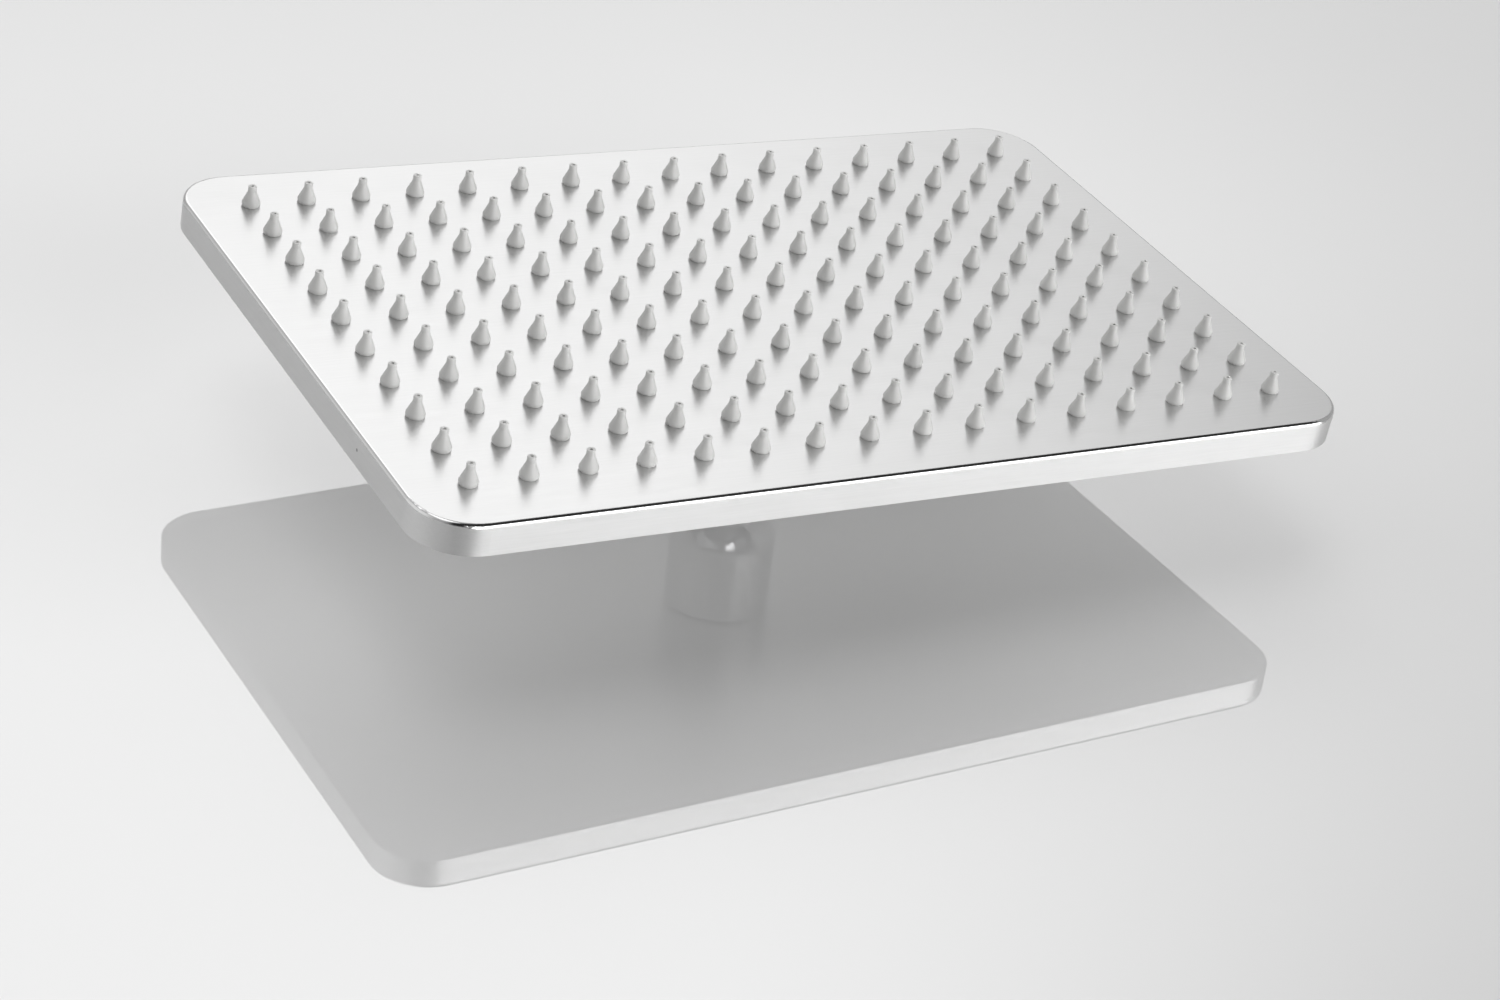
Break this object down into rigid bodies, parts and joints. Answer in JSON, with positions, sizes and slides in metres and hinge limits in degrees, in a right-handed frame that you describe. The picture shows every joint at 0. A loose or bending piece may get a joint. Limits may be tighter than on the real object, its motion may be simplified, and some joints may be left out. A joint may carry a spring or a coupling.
{
  "type": "rectangular shower head",
  "caption": "Flat rectangular rain shower head in brushed steel: a grid of soft beaded nozzles in front, and a swivel-ball inlet with a threaded hexagon socket behind.",
  "frame": {"origin": "on the inlet's axis, in the plane of the inlet's open end, on which the head stands", "axes": "+X along the plate's long side, +Y along its short side, +Z out of the spray face, along the inlet's axis"},
  "size_m": [0.3, 0.197, 0.0629],
  "materials": {
    "face_steel": "fine brushed along the long side, satin",
    "back_steel": "fine brushed, satin",
    "inner_steel": "mill finish",
    "turned_steel": "turned, satin",
    "stud_chrome": "polished chrome",
    "nozzle_silicone": "soft translucent grey silicone",
    "seal_rubber": "matt black rubber",
    "ring_plastic": "smooth natural acetal",
    "restrictor_plastic": "moulded plastic"
  },
  "bodies": {
    "inlet": {"ball_stud": "stud_chrome", "inlet_washer": "seal_rubber", "filter_screen": "inner_steel", "flow_restrictor": "restrictor_plastic"},
    "ring": {"friction_ring": "ring_plastic"},
    "seal": {"ball_seal": "seal_rubber"},
    "head": {"face_pan": "face_steel", "back_cover": "back_steel", "nozzles": "nozzle_silicone", "spacer_posts": "inner_steel", "water_spreader": "inner_steel", "inlet_boss": "turned_steel", "swivel_nut": "turned_steel"}
  },
  "joints": [
    {"name": "tilt_about_x", "type": "hinge", "parent": "inlet", "child": "ring", "pos_m": [0, 0, 0.035], "axis": [1, 0, 0], "range_deg": [-12, 12]},
    {"name": "tilt_about_y", "type": "hinge", "parent": "ring", "child": "seal", "pos_m": [0, 0, 0.035], "axis": [0, 1, 0], "range_deg": [-12, 12]},
    {"name": "head_spin", "type": "hinge", "parent": "seal", "child": "head", "pos_m": [0, 0, 0.035], "axis": [0, 0, 1], "continuous": true}
  ]
}
